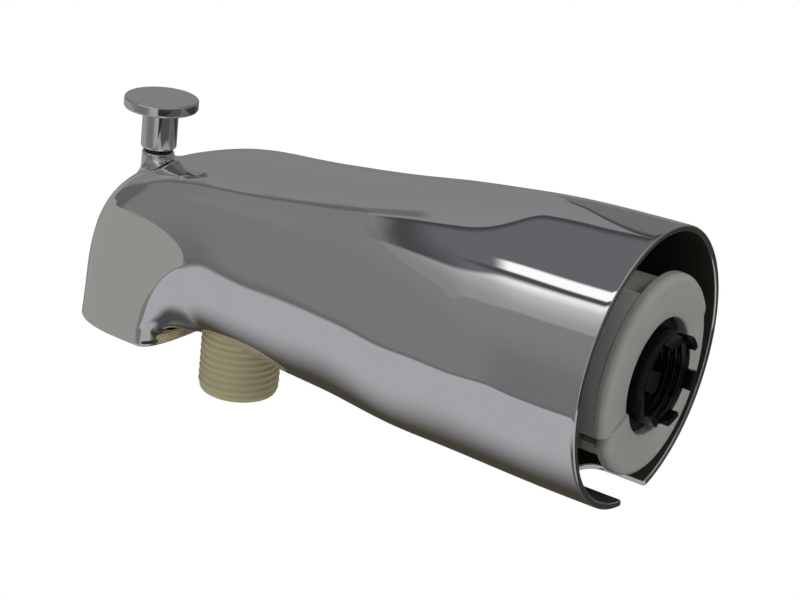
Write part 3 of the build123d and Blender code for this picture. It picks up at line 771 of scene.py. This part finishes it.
def plastic_finish(name, dark, light, rough):
    """Hard moulded plastic with a thin polished skin."""
    finish = bpy.data.materials.new(name)
    recipe = Recipe(finish)
    cloud = recipe.noise(150.0, 3.0)
    recipe.surface(
        Base_Color=recipe.mix(cloud, dark, light),
        Roughness=cloud * 0.15 + rough,
        Specular_IOR_Level=0.3,
        Coat_Weight=0.25,
        Coat_Roughness=0.08,
        Normal=recipe.bump(recipe.noise(1800.0, 2.0), 0.06, 0.0002),
    )
    return finish


black_gloss = plastic_finish("insert_black", paint(4, 4, 6), paint(8, 8, 11), 0.2)


def modelled(tree_name, sizes, material, build):
    """A mesh made by a geometry node tree with named inputs, turned to plain mesh data."""
    tree = bpy.data.node_groups.new(tree_name, "GeometryNodeTree")
    tree.interface.new_socket("Geometry", in_out="OUTPUT", socket_type="NodeSocketGeometry")
    for name, value in sizes.items():
        kind = "NodeSocketInt" if isinstance(value, int) else "NodeSocketFloat"
        socket = tree.interface.new_socket(name, in_out="INPUT", socket_type=kind)
        socket.default_value = value
    entry = tree.nodes.new("NodeGroupInput")

    class Kit(Recipe):
        def __init__(self):
            self.tree = tree

        def size(self, name):
            return Wire(self, entry, name)

    kit = Kit()
    shape = build(kit)
    real = kit.add("GeometryNodeRealizeInstances", None, [shape])
    dressed = kit.add("GeometryNodeSetMaterial", None, {"Geometry": real, "Material": material})
    leave = tree.nodes.new("NodeGroupOutput")
    tree.links.new(dressed.socket, leave.inputs[0])
    carrier = bpy.data.objects.new(tree_name, bpy.data.meshes.new(tree_name + "_start"))
    bpy.context.scene.collection.objects.link(carrier)
    modifier = carrier.modifiers.new(tree_name, "NODES")
    modifier.node_group = tree
    for item in tree.interface.items_tree:
        if item.item_type == "SOCKET" and item.in_out == "INPUT":
            modifier[item.identifier] = sizes[item.name]
    evaluated = carrier.evaluated_get(bpy.context.evaluated_depsgraph_get())
    mesh = bpy.data.meshes.new_from_object(evaluated)
    carrier.modifiers.remove(modifier)
    bpy.data.objects.remove(carrier)
    return mesh


def thread_wall(kit):
    """A helical thread as a sheet: round the axis along X of a grid, down it along Y."""
    turns = kit.size("Length") / kit.size("Pitch")
    grid = kit.add("GeometryNodeMeshGrid", None, {
        "Size X": 1.0, "Size Y": 1.0,
        "Vertices X": kit.size("Segments"), "Vertices Y": kit.size("Rows"),
    })
    where = kit.add("GeometryNodeInputPosition")
    split = kit.add("ShaderNodeSeparateXYZ", None, [where])
    across = split.out(0) + 0.5
    down = split.out(1) + 0.5
    phase = kit.add("ShaderNodeMath", {"operation": "FRACT"}, [down * turns + across + 8.0])
    wave = kit.add("ShaderNodeMath", {"operation": "ABSOLUTE"}, [phase * 2.0 - 1.0])
    ridge = kit.add("ShaderNodeMapRange", {"interpolation_type": "SMOOTHSTEP"}, [wave, 0.14, 0.86])
    from_top, from_end = down * turns, (1.0 - down) * turns
    fade_in = kit.add("ShaderNodeMapRange", {"clamp": True}, [from_top, 0.0, kit.size("Run in")])
    fade_out = kit.add("ShaderNodeMapRange", {"clamp": True}, [from_end, 0.0, kit.size("Run out")])
    height = ridge * fade_in * fade_out
    radius = kit.size("Root") + (kit.size("Crest") - kit.size("Root")) * height
    angle = across * (2 * pi)
    cosine = kit.add("ShaderNodeMath", {"operation": "COSINE"}, [angle])
    sine = kit.add("ShaderNodeMath", {"operation": "SINE"}, [angle])
    level = kit.size("Top") - down * kit.size("Length")
    spot = kit.add("ShaderNodeCombineXYZ", None, [cosine * radius, sine * radius, level])
    moved = kit.add("GeometryNodeSetPosition", None, {"Geometry": grid, "Position": spot})
    return kit.add("GeometryNodeMergeByDistance", None, {"Geometry": moved, "Distance": 1e-5})


def finger_mesh():
    """One finger of the crown, sunk a little into the face, with softened edges."""
    work = bmesh.new()
    low, high = THREAD_START, INSERT_FACE + FINGER_HEIGHT
    corners = [(FINGER_INNER, low), (INSERT_RADIUS, low), (INSERT_RADIUS, high), (FINGER_INNER, high)]
    rings = []
    for i in range(FINGER_STEPS + 1):
        angle = radians(FINGER_START + FINGER_SWEEP * i / FINGER_STEPS)
        ring_verts = []
        for radius, level in corners:
            spot = (radius * cos(angle) * MM, -radius * sin(angle) * MM, level * MM)
            ring_verts.append(work.verts.new(spot))
        rings.append(ring_verts)
    for one, two in zip(rings, rings[1:]):
        for k in range(4):
            m = (k + 1) % 4
            work.faces.new([one[k], one[m], two[m], two[k]])
    work.faces.new(rings[0])
    work.faces.new(rings[-1])
    bmesh.ops.recalc_face_normals(work, faces=work.faces)
    sharp = [e for e in work.edges if e.calc_face_angle() > SHARP_EDGE]
    soft = FINGER_SOFT * MM
    bmesh.ops.bevel(work, geom=sharp, offset=soft, segments=3, affect="EDGES", profile=0.5)
    bmesh.ops.recalc_face_normals(work, faces=work.faces)
    mesh = bpy.data.meshes.new("finger")
    work.to_mesh(mesh)
    work.free()
    return mesh


finger = bpy.data.objects.new("finger", finger_mesh())
bpy.context.scene.collection.objects.link(finger)


def crown_of_fingers(kit):
    """The finger, set round the bore as often as the count says."""
    spots = kit.add("GeometryNodePoints", None, {"Count": kit.size("Count")})
    turn = kit.add("GeometryNodeInputIndex") * (2 * pi) / kit.size("Count")
    rotation = kit.add("ShaderNodeCombineXYZ", None, [0.0, 0.0, turn])
    source = kit.add(
        "GeometryNodeObjectInfo", {"transform_space": "ORIGINAL"}, {"Object": finger}, output=4
    )
    return kit.add("GeometryNodeInstanceOnPoints", None, {
        "Points": spots, "Instance": source, "Rotation": rotation,
    })


crown_mesh = modelled("crown", {"Count": FINGER_COUNT}, black_gloss, crown_of_fingers)
bpy.data.objects.remove(finger)
thread_mesh = modelled(
    "inlet_thread",
    {
        "Segments": 97, "Rows": 130, "Pitch": THREAD_PITCH * MM, "Root": THREAD_ROOT * MM,
        "Crest": THREAD_CREST * MM, "Top": THREAD_START * MM,
        "Length": (THREAD_START - THREAD_END) * MM, "Run in": 0.8, "Run out": 0.6,
    },
    black_gloss,
    thread_wall,
)


def joined(name, parts, material, sharp):
    """One object out of several meshes. Open edges that meet are welded."""
    points, faces = [], []
    for mesh_points, mesh_faces in parts:
        first = len(points)
        points += mesh_points
        faces += [[first + v for v in face] for face in mesh_faces]
    return mesh_piece(name, points, faces, [material], sharp=sharp)


def plain_data(mesh, place):
    """A mesh's points through a placing function, in millimetres, and its faces."""
    spots = [place(v.co.x / MM, v.co.y / MM, v.co.z / MM) for v in mesh.vertices]
    return spots, [list(p.vertices) for p in mesh.polygons]


insert_profile = [(THREAD_ROOT, THREAD_START), (THREAD_ROOT + 0.15, INSERT_FACE)]
insert_profile += [(INSERT_RADIUS - 0.2, INSERT_FACE), (INSERT_RADIUS, INSERT_FACE - 0.2)]
insert_profile += [(INSERT_RADIUS, COLLAR_FACE), (COLLAR_RADIUS, COLLAR_FACE)]
insert_profile += [(COLLAR_RADIUS, INSERT_END), (WATERWAY_RADIUS, INSERT_END)]
insert_profile += [(WATERWAY_RADIUS, WASHER_SEAT), (WASHER_SEAT_RADIUS, WASHER_SEAT)]
insert_profile += [(WASHER_SEAT_RADIUS, THREAD_END), (THREAD_ROOT, THREAD_END)]
insert = joined(
    "insert",
    [
        turned(insert_profile, 96, on_inlet),
        plain_data(thread_mesh, on_inlet),
        plain_data(crown_mesh, lambda a, b, level: on_inlet(a, -b, level)),
    ],
    black_gloss,
    40,
)
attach(insert, "housing")
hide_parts("threaded_insert")

# Hose outlet: a nipple in unfilled nylon, gone cream, with a half-inch parallel thread.
# It is screwed up through the hole under the neck and bears on a washer inside.
OUTLET_BOTTOM = -43.3
OUTLET_CREST = 10.475
OUTLET_ROOT = 10.0
OUTLET_BORE = 5.6
OUTLET_SPIGOT = 7.5
OUTLET_SHOULDER = -24.4
OUTLET_SPIGOT_TOP = -17.2
OUTLET_CHAMFER = 0.5
OUTLET_BORE_CHAMFER = 0.4


def on_outlet(across, along, level):
    return across, OUTLET_Y + along, level


cream = nylon_finish("outlet_cream", paint(141, 132, 103), paint(151, 143, 113), 0.4)
outlet_low = OUTLET_BOTTOM + OUTLET_CHAMFER
outlet_thread = modelled(
    "outlet_thread",
    {
        "Segments": 129, "Rows": 104, "Pitch": THREAD_PITCH * MM, "Root": OUTLET_ROOT * MM,
        "Crest": OUTLET_CREST * MM, "Top": OUTLET_SHOULDER * MM,
        "Length": (OUTLET_SHOULDER - outlet_low) * MM, "Run in": 0.3, "Run out": 0.7,
    },
    cream,
    thread_wall,
)
outlet_end = OUTLET_CREST - OUTLET_CHAMFER
outlet_profile = [(OUTLET_ROOT, outlet_low), (outlet_end - 0.2, OUTLET_BOTTOM + 0.15)]
outlet_profile += [(outlet_end - 0.45, OUTLET_BOTTOM)]
outlet_profile += [(OUTLET_BORE + OUTLET_BORE_CHAMFER, OUTLET_BOTTOM)]
outlet_profile += [(OUTLET_BORE, OUTLET_BOTTOM + OUTLET_BORE_CHAMFER)]
outlet_profile += [(OUTLET_BORE, OUTLET_SPIGOT_TOP)]
outlet_profile += [(OUTLET_SPIGOT, OUTLET_SPIGOT_TOP), (OUTLET_SPIGOT, OUTLET_SHOULDER)]
outlet_profile += [(OUTLET_ROOT, OUTLET_SHOULDER)]
outlet = joined(
    "hose_nipple",
    [turned(outlet_profile, 128, on_outlet), plain_data(outlet_thread, on_outlet)],
    cream,
    40,
)
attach(outlet, "housing")
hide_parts("hose_outlet")

# What works inside: the moulded waterway, its seals and washers, the port plate and its
# screws, and the gate on its steel rod. Little of it shows, so it keeps its plain shapes.
body_nylon = nylon_finish("waterway_nylon", paint(120, 117, 108), paint(134, 131, 121), 0.4)
plate_acetal = nylon_finish("plate_acetal", paint(96, 98, 100), paint(108, 110, 112), 0.36)
guide_black = plastic_finish("guide_black", paint(12, 12, 13), paint(20, 20, 21), 0.35)

seal_rubber = bpy.data.materials.new("seal_rubber")
recipe = Recipe(seal_rubber)
bloom = recipe.noise(400.0, 4.0)
recipe.surface(
    Base_Color=recipe.mix(bloom, paint(20, 20, 21), paint(34, 34, 35)),
    Roughness=bloom * 0.2 + 0.6,
    Normal=recipe.bump(recipe.noise(3000.0, 2.0), 0.1, 0.0002),
)

rod_steel = bpy.data.materials.new("rod_steel")
recipe = Recipe(rod_steel)
where = recipe.place()
stretched = recipe.add("ShaderNodeMapping", None, {"Vector": where, "Scale": (1.0, 1.0, 0.02)})
lines = recipe.noise(9000.0, 2.0, stretched)
recipe.surface(
    Base_Color=recipe.mix(lines, (0.42, 0.42, 0.43, 1), (0.56, 0.56, 0.57, 1)),
    Metallic=1.0,
    Roughness=lines * 0.1 + 0.2,
)
inside_finish = {
    "waterway_body": body_nylon,
    "port_plate": plate_acetal,
    "diverter_gate": plate_acetal,
    "rod_gland": plate_acetal,
    "rod_guide": guide_black,
    "adapter_seal_rear": seal_rubber,
    "adapter_seal_front": seal_rubber,
    "inlet_washer": seal_rubber,
    "outlet_washer": seal_rubber,
    "rod_seal": seal_rubber,
    "gate_pad": seal_rubber,
    "port_plate_screws": rod_steel,
    "lift_rod": rod_steel,
}
for node, finish in inside_finish.items():
    for material_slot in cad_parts[node].material_slots:
        material_slot.material = finish

# Studio: a pale floor well below the spout, three soft lamps for the mouldings, and a
# surround of plain grey cards, which shows only in reflections.
FLOOR_Z = -0.11
FLOOR_HALF = 6
floor_mesh = bpy.data.meshes.new("floor")
floor_signs = ((-1, -1), (1, -1), (1, 1), (-1, 1))
floor_corners = [(FLOOR_HALF * a, FLOOR_HALF * b, FLOOR_Z) for a, b in floor_signs]
floor_mesh.from_pydata(floor_corners, [], [[0, 1, 2, 3]])
floor = bpy.data.objects.new("floor", floor_mesh)
bpy.context.scene.collection.objects.link(floor)
floor.visible_glossy = False
floor_white = bpy.data.materials.new("floor_white")
recipe = Recipe(floor_white)
camera_ray = recipe.add("ShaderNodeLightPath", None, (), output=0)
cloth = recipe.add("ShaderNodeBsdfDiffuse", None, {"Color": (0.9, 0.9, 0.9, 1)})
glow = recipe.add("ShaderNodeEmission", None, {"Color": (1, 1, 1, 1), "Strength": 1.0})
shown = recipe.add("ShaderNodeMixShader", None, [camera_ray, cloth, glow])
recipe.add("ShaderNodeOutputMaterial", None, [shown])
floor_mesh.materials.append(floor_white)

CHROME_LEVEL = 0.89


def card(red, green, blue):
    """The light of a card that looks this colour in the chrome."""
    return (*[part / CHROME_LEVEL for part in seen(red, green, blue)], 1)


world = bpy.data.worlds.new("studio")
bpy.context.scene.world = world
recipe = Recipe(world)
rise, mix = recipe.rise, recipe.mix
direction = recipe.add("ShaderNodeTexCoord", None, (), output=0)
split = recipe.add("ShaderNodeSeparateXYZ", None, [direction])
dx, dy, dz = (split.out(i) for i in range(3))
round_axis = recipe.add("ShaderNodeMath", {"operation": "ARCTAN2"}, [dz, dx]) * (180 / pi)
from_nose = recipe.add("ShaderNodeMath", {"operation": "ARCCOSINE"}, [dy * -1.0]) * (180 / pi)

# The cards are laid out in degrees: round_axis runs from the near side up over the top, and
# from_nose from straight ahead to the wall. The room is grey above and at the sides, paler
# low down where the table is, and olive underneath.
side_edge = rise(from_nose, 43.5, 52) * 27 + rise(from_nose, 52, 58) * 3 + 4
side_edge = side_edge + rise(from_nose, 48.5, 46) * 125
table_edge = rise(from_nose, 45, 57) * 9.5 - rise(from_nose, 61, 66) * 1.5 - 44
above = mix(rise(round_axis, 110, 165), card(129, 130, 131), card(124, 125, 127))
wall = mix(rise(from_nose, 52, 58), card(115, 116, 116), card(107, 108, 109))
wall = mix(rise(round_axis, -14, 26) * rise(from_nose, 42, 49), wall, card(121, 122, 123))
light = mix(rise(round_axis - side_edge, -1.5, 1.5), wall, above)
table = mix(rise(round_axis, -122, -68), card(64, 61, 52), card(163, 162, 166))
past_table = round_axis - table_edge
edge_line = rise(past_table, 3.2, 1.0) * rise(past_table, -0.2, 0.8)
light = mix(edge_line * 0.5, light, card(88, 88, 88))
light = mix(rise(past_table, 0.8, -0.8), light, table)
corner = rise(from_nose, 67, 74) * rise(from_nose, 92, 82) * rise(round_axis, -44, -66)
light = mix(corner, light, card(70, 70, 72))
far_side = rise(round_axis, -136, -150) * rise(from_nose, 56, 50)
light = mix(far_side, light, card(126, 125, 123))
light = mix(rise(round_axis, -156, -172), light, card(122, 122, 122))

# A window card: its soft lower part, then the dark frame above it with a darker edge
glow_share = rise(from_nose, 48.5, 51.5) * 0.6 + rise(from_nose, 53, 58) * 0.4
glow = rise(round_axis - side_edge, -1.5, 1) * 0.11 + rise(round_axis, 35, 57) * 0.4
glow = (glow + rise(round_axis, 49, 58) * 0.49) * rise(round_axis, 28, 30)
light = mix(glow * glow_share * rise(round_axis, 61, 59), light, card(238, 238, 240))
frame_top = rise(from_nose, 52, 59) * 34 + rise(from_nose, 63, 66) * 4 + 99
frame_low = rise(from_nose, 49.5, 56) * 9 + 50
in_frame = rise(round_axis - frame_top, 1.2, -1.2) * rise(round_axis - frame_low, -3, 1.5)
in_frame = in_frame * rise(from_nose, 46.4, 49.6)
light = mix(in_frame, light, mix(rise(from_nose, 50, 52.5), card(68, 70, 72), card(96, 98, 101)))
light = mix(rise(round_axis - frame_top, -9, -1.5) * in_frame, light, card(62, 64, 66))
rail = rise(round_axis, 102, 107) * rise(round_axis, 121, 116) * (1.0 - in_frame)
rail = rail * rise(round_axis - frame_top, 40, 10) * rise(from_nose, 52, 50.5)
light = mix(rail * 0.55, light, card(70, 72, 74))

# The bright strip over a dark line at the window's foot, and a beam high on the far side
sunk = round_axis + rise(from_nose, 56, 65) * 1.7
foot = rise(sunk, 59.4, 61.4) * rise(sunk, 64.6, 62.6) * rise(from_nose, 51, 54)
light = mix(foot, light, card(70, 72, 70))
strip = rise(sunk, 63.2, 65.2) * rise(sunk, 73.8, 71.2) * rise(from_nose, 54.3, 56.3)
light = mix(strip, light, card(252, 252, 252))
past_beam = round_axis + rise(from_nose, 61.3, 64.8) * 27 - 165
beam = mix(rise(past_beam, 0, 6), card(62, 64, 66), card(105, 107, 109))
light = mix(rise(past_beam, -3.5, 0) * rise(from_nose, 61.2, 61.8), light, beam)

# In front of the nose stands a warm grey card. The room behind is pale and warm, darker
# low down, with a dark doorway straight behind the wall end.
warm = mix(rise(round_axis, -29, -37), card(127, 126, 122), card(145, 143, 139))
light = mix(rise(from_nose, 41.8, 40.3) * rise(round_axis, -17, -27), light, warm)
low_front = rise(round_axis, -17, -27) * rise(round_axis, -178, -168)
light = mix(rise(from_nose, 27, 19) * (1.0 - low_front), light, card(94, 94, 93))
behind = rise(from_nose, 80, 106)
low = rise(round_axis, -96, -116)
light = mix(behind, light, mix(low, card(158, 157, 154), card(92, 89, 80)))
compass = recipe.add("ShaderNodeMath", {"operation": "ARCTAN2"}, [dy, dx]) * (180 / pi)
beyond = behind * rise(compass, 100, 122) * rise(dz, 0.9, 0.75)
light = mix(beyond, light, mix(rise(dz, -0.2, 0.1), card(52, 51, 48), card(98, 98, 97)))
doorway = rise(compass, 26, 33) * rise(compass, 122, 100) * behind
doorway = doorway * rise(dz, -0.46, -0.41) * rise(dz, 0.9, 0.75)
light = mix(doorway, light, mix(rise(dz, -0.3, 0.1), card(42, 42, 42), card(80, 80, 80)))

path = recipe.add("ShaderNodeLightPath")
is_camera = path.out("Is Camera Ray")
is_glossy = path.out("Is Glossy Ray")
is_through = path.out("Is Transmission Ray")
soft_fill = (0.62, 0.62, 0.63, 1)
chosen = mix(is_glossy, soft_fill, light)
chosen = mix(is_camera + is_through, chosen, (1, 1, 1, 1))
background = recipe.add("ShaderNodeBackground", None, {"Color": chosen, "Strength": 1.0})
recipe.add("ShaderNodeOutputWorld", None, [background])


def soft_lamp(name, spot, target, size, watts):
    lamp = bpy.data.lights.new(name, "AREA")
    lamp.shape = "DISK"
    lamp.size = size
    lamp.energy = watts
    holder = bpy.data.objects.new(name, lamp)
    bpy.context.scene.collection.objects.link(holder)
    holder.location = spot
    aim = Vector(target) - Vector(spot)
    holder.rotation_euler = aim.to_track_quat("-Z", "Y").to_euler()
    holder.visible_glossy = False


soft_lamp("key", (0.05, 0.8, 0.6), (0, -0.03, 0), 0.4, 5.0)
soft_lamp("fill", (0.8, -0.3, 0.25), (0, -0.08, 0), 0.6, 3.0)
soft_lamp("rim_side", (-0.5, 0.3, 0.5), (0, -0.03, 0), 0.5, 2.0)

# Camera: behind the wall end and above it, on the +X side, with a slight roll
CAMERA_YAW = 1.025
CAMERA_PITCH = 0.378
CAMERA_ROLL = 0.115
CAMERA_SPOT = (0.4207925, 0.1873314, 0.1911241)
CAMERA_LENS = 97.93
away = Vector((
    cos(CAMERA_PITCH) * sin(CAMERA_YAW), cos(CAMERA_PITCH) * cos(CAMERA_YAW), sin(CAMERA_PITCH)
))
level_right = Vector((-cos(CAMERA_YAW), sin(CAMERA_YAW), 0))
level_up = away.cross(level_right)
right = level_right * cos(CAMERA_ROLL) + level_up * sin(CAMERA_ROLL)
up = level_up * cos(CAMERA_ROLL) - level_right * sin(CAMERA_ROLL)
lens = bpy.data.cameras.new("camera")
lens.sensor_width = 36
lens.lens = CAMERA_LENS
lens.clip_start = 0.01
camera = bpy.data.objects.new("camera", lens)
bpy.context.scene.collection.objects.link(camera)
turned_to = Matrix((right, up, away)).transposed().to_4x4()
camera.matrix_world = Matrix.Translation(CAMERA_SPOT) @ turned_to
bpy.context.scene.camera = camera
bpy.context.scene.view_settings.view_transform = "Standard"
